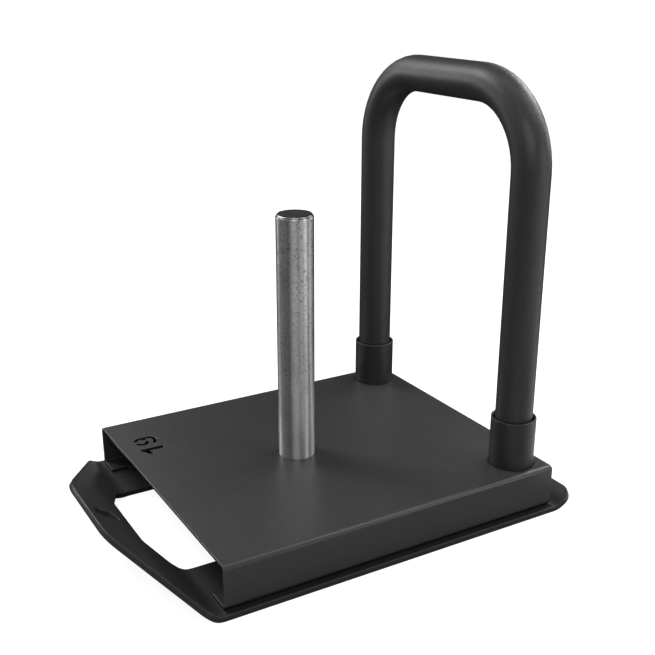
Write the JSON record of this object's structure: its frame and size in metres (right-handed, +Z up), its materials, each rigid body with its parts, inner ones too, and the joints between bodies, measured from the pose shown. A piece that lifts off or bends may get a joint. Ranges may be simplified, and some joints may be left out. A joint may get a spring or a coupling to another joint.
{
  "type": "weight sled",
  "caption": "Weight sled with a bent skid plate, a folded hollow deck, an upright plate post and a U-shaped push handle that lifts out of its sockets.",
  "frame": {"origin": "on the floor, under the middle of the sled's overall length and width", "axes": "+Z up; the nose with the tow slot points to -Y, the push handle stands at the +Y end; X across the sled"},
  "size_m": [0.4416, 0.6182, 0.5852],
  "materials": {
    "plate_paint": "matte black powder coat",
    "deck_paint": "matte black powder coat, finely textured",
    "socket_paint": "matte black powder coat",
    "handle_paint": "satin black powder coat",
    "weld_paint": "weld beads under the black powder coat",
    "post_steel": "bare zinc-plated steel with dark mottled streaks",
    "post_plug_plastic": "matte black plastic",
    "handle_plug_plastic": "matte black plastic"
  },
  "bodies": {
    "sled": {"base_plate": "plate_paint", "deck": "deck_paint", "weight_post": "post_steel", "post_end_plug": "post_plug_plastic", "socket_left": "socket_paint", "socket_right": "socket_paint", "post_weld": "weld_paint", "socket_weld_left": "weld_paint", "socket_weld_right": "weld_paint", "flange_weld_left_1": "weld_paint", "flange_weld_left_2": "weld_paint", "flange_weld_left_3": "weld_paint", "flange_weld_right_1": "weld_paint", "flange_weld_right_2": "weld_paint", "flange_weld_right_3": "weld_paint"},
    "handle": {"push_handle": "handle_paint", "handle_end_plug_left": "handle_plug_plastic", "handle_end_plug_right": "handle_plug_plastic"}
  },
  "joints": [
    {"name": "handle_lift", "type": "slide", "parent": "sled", "child": "handle", "axis": [0, 0, 1], "range_m": [0, 0.14]}
  ]
}
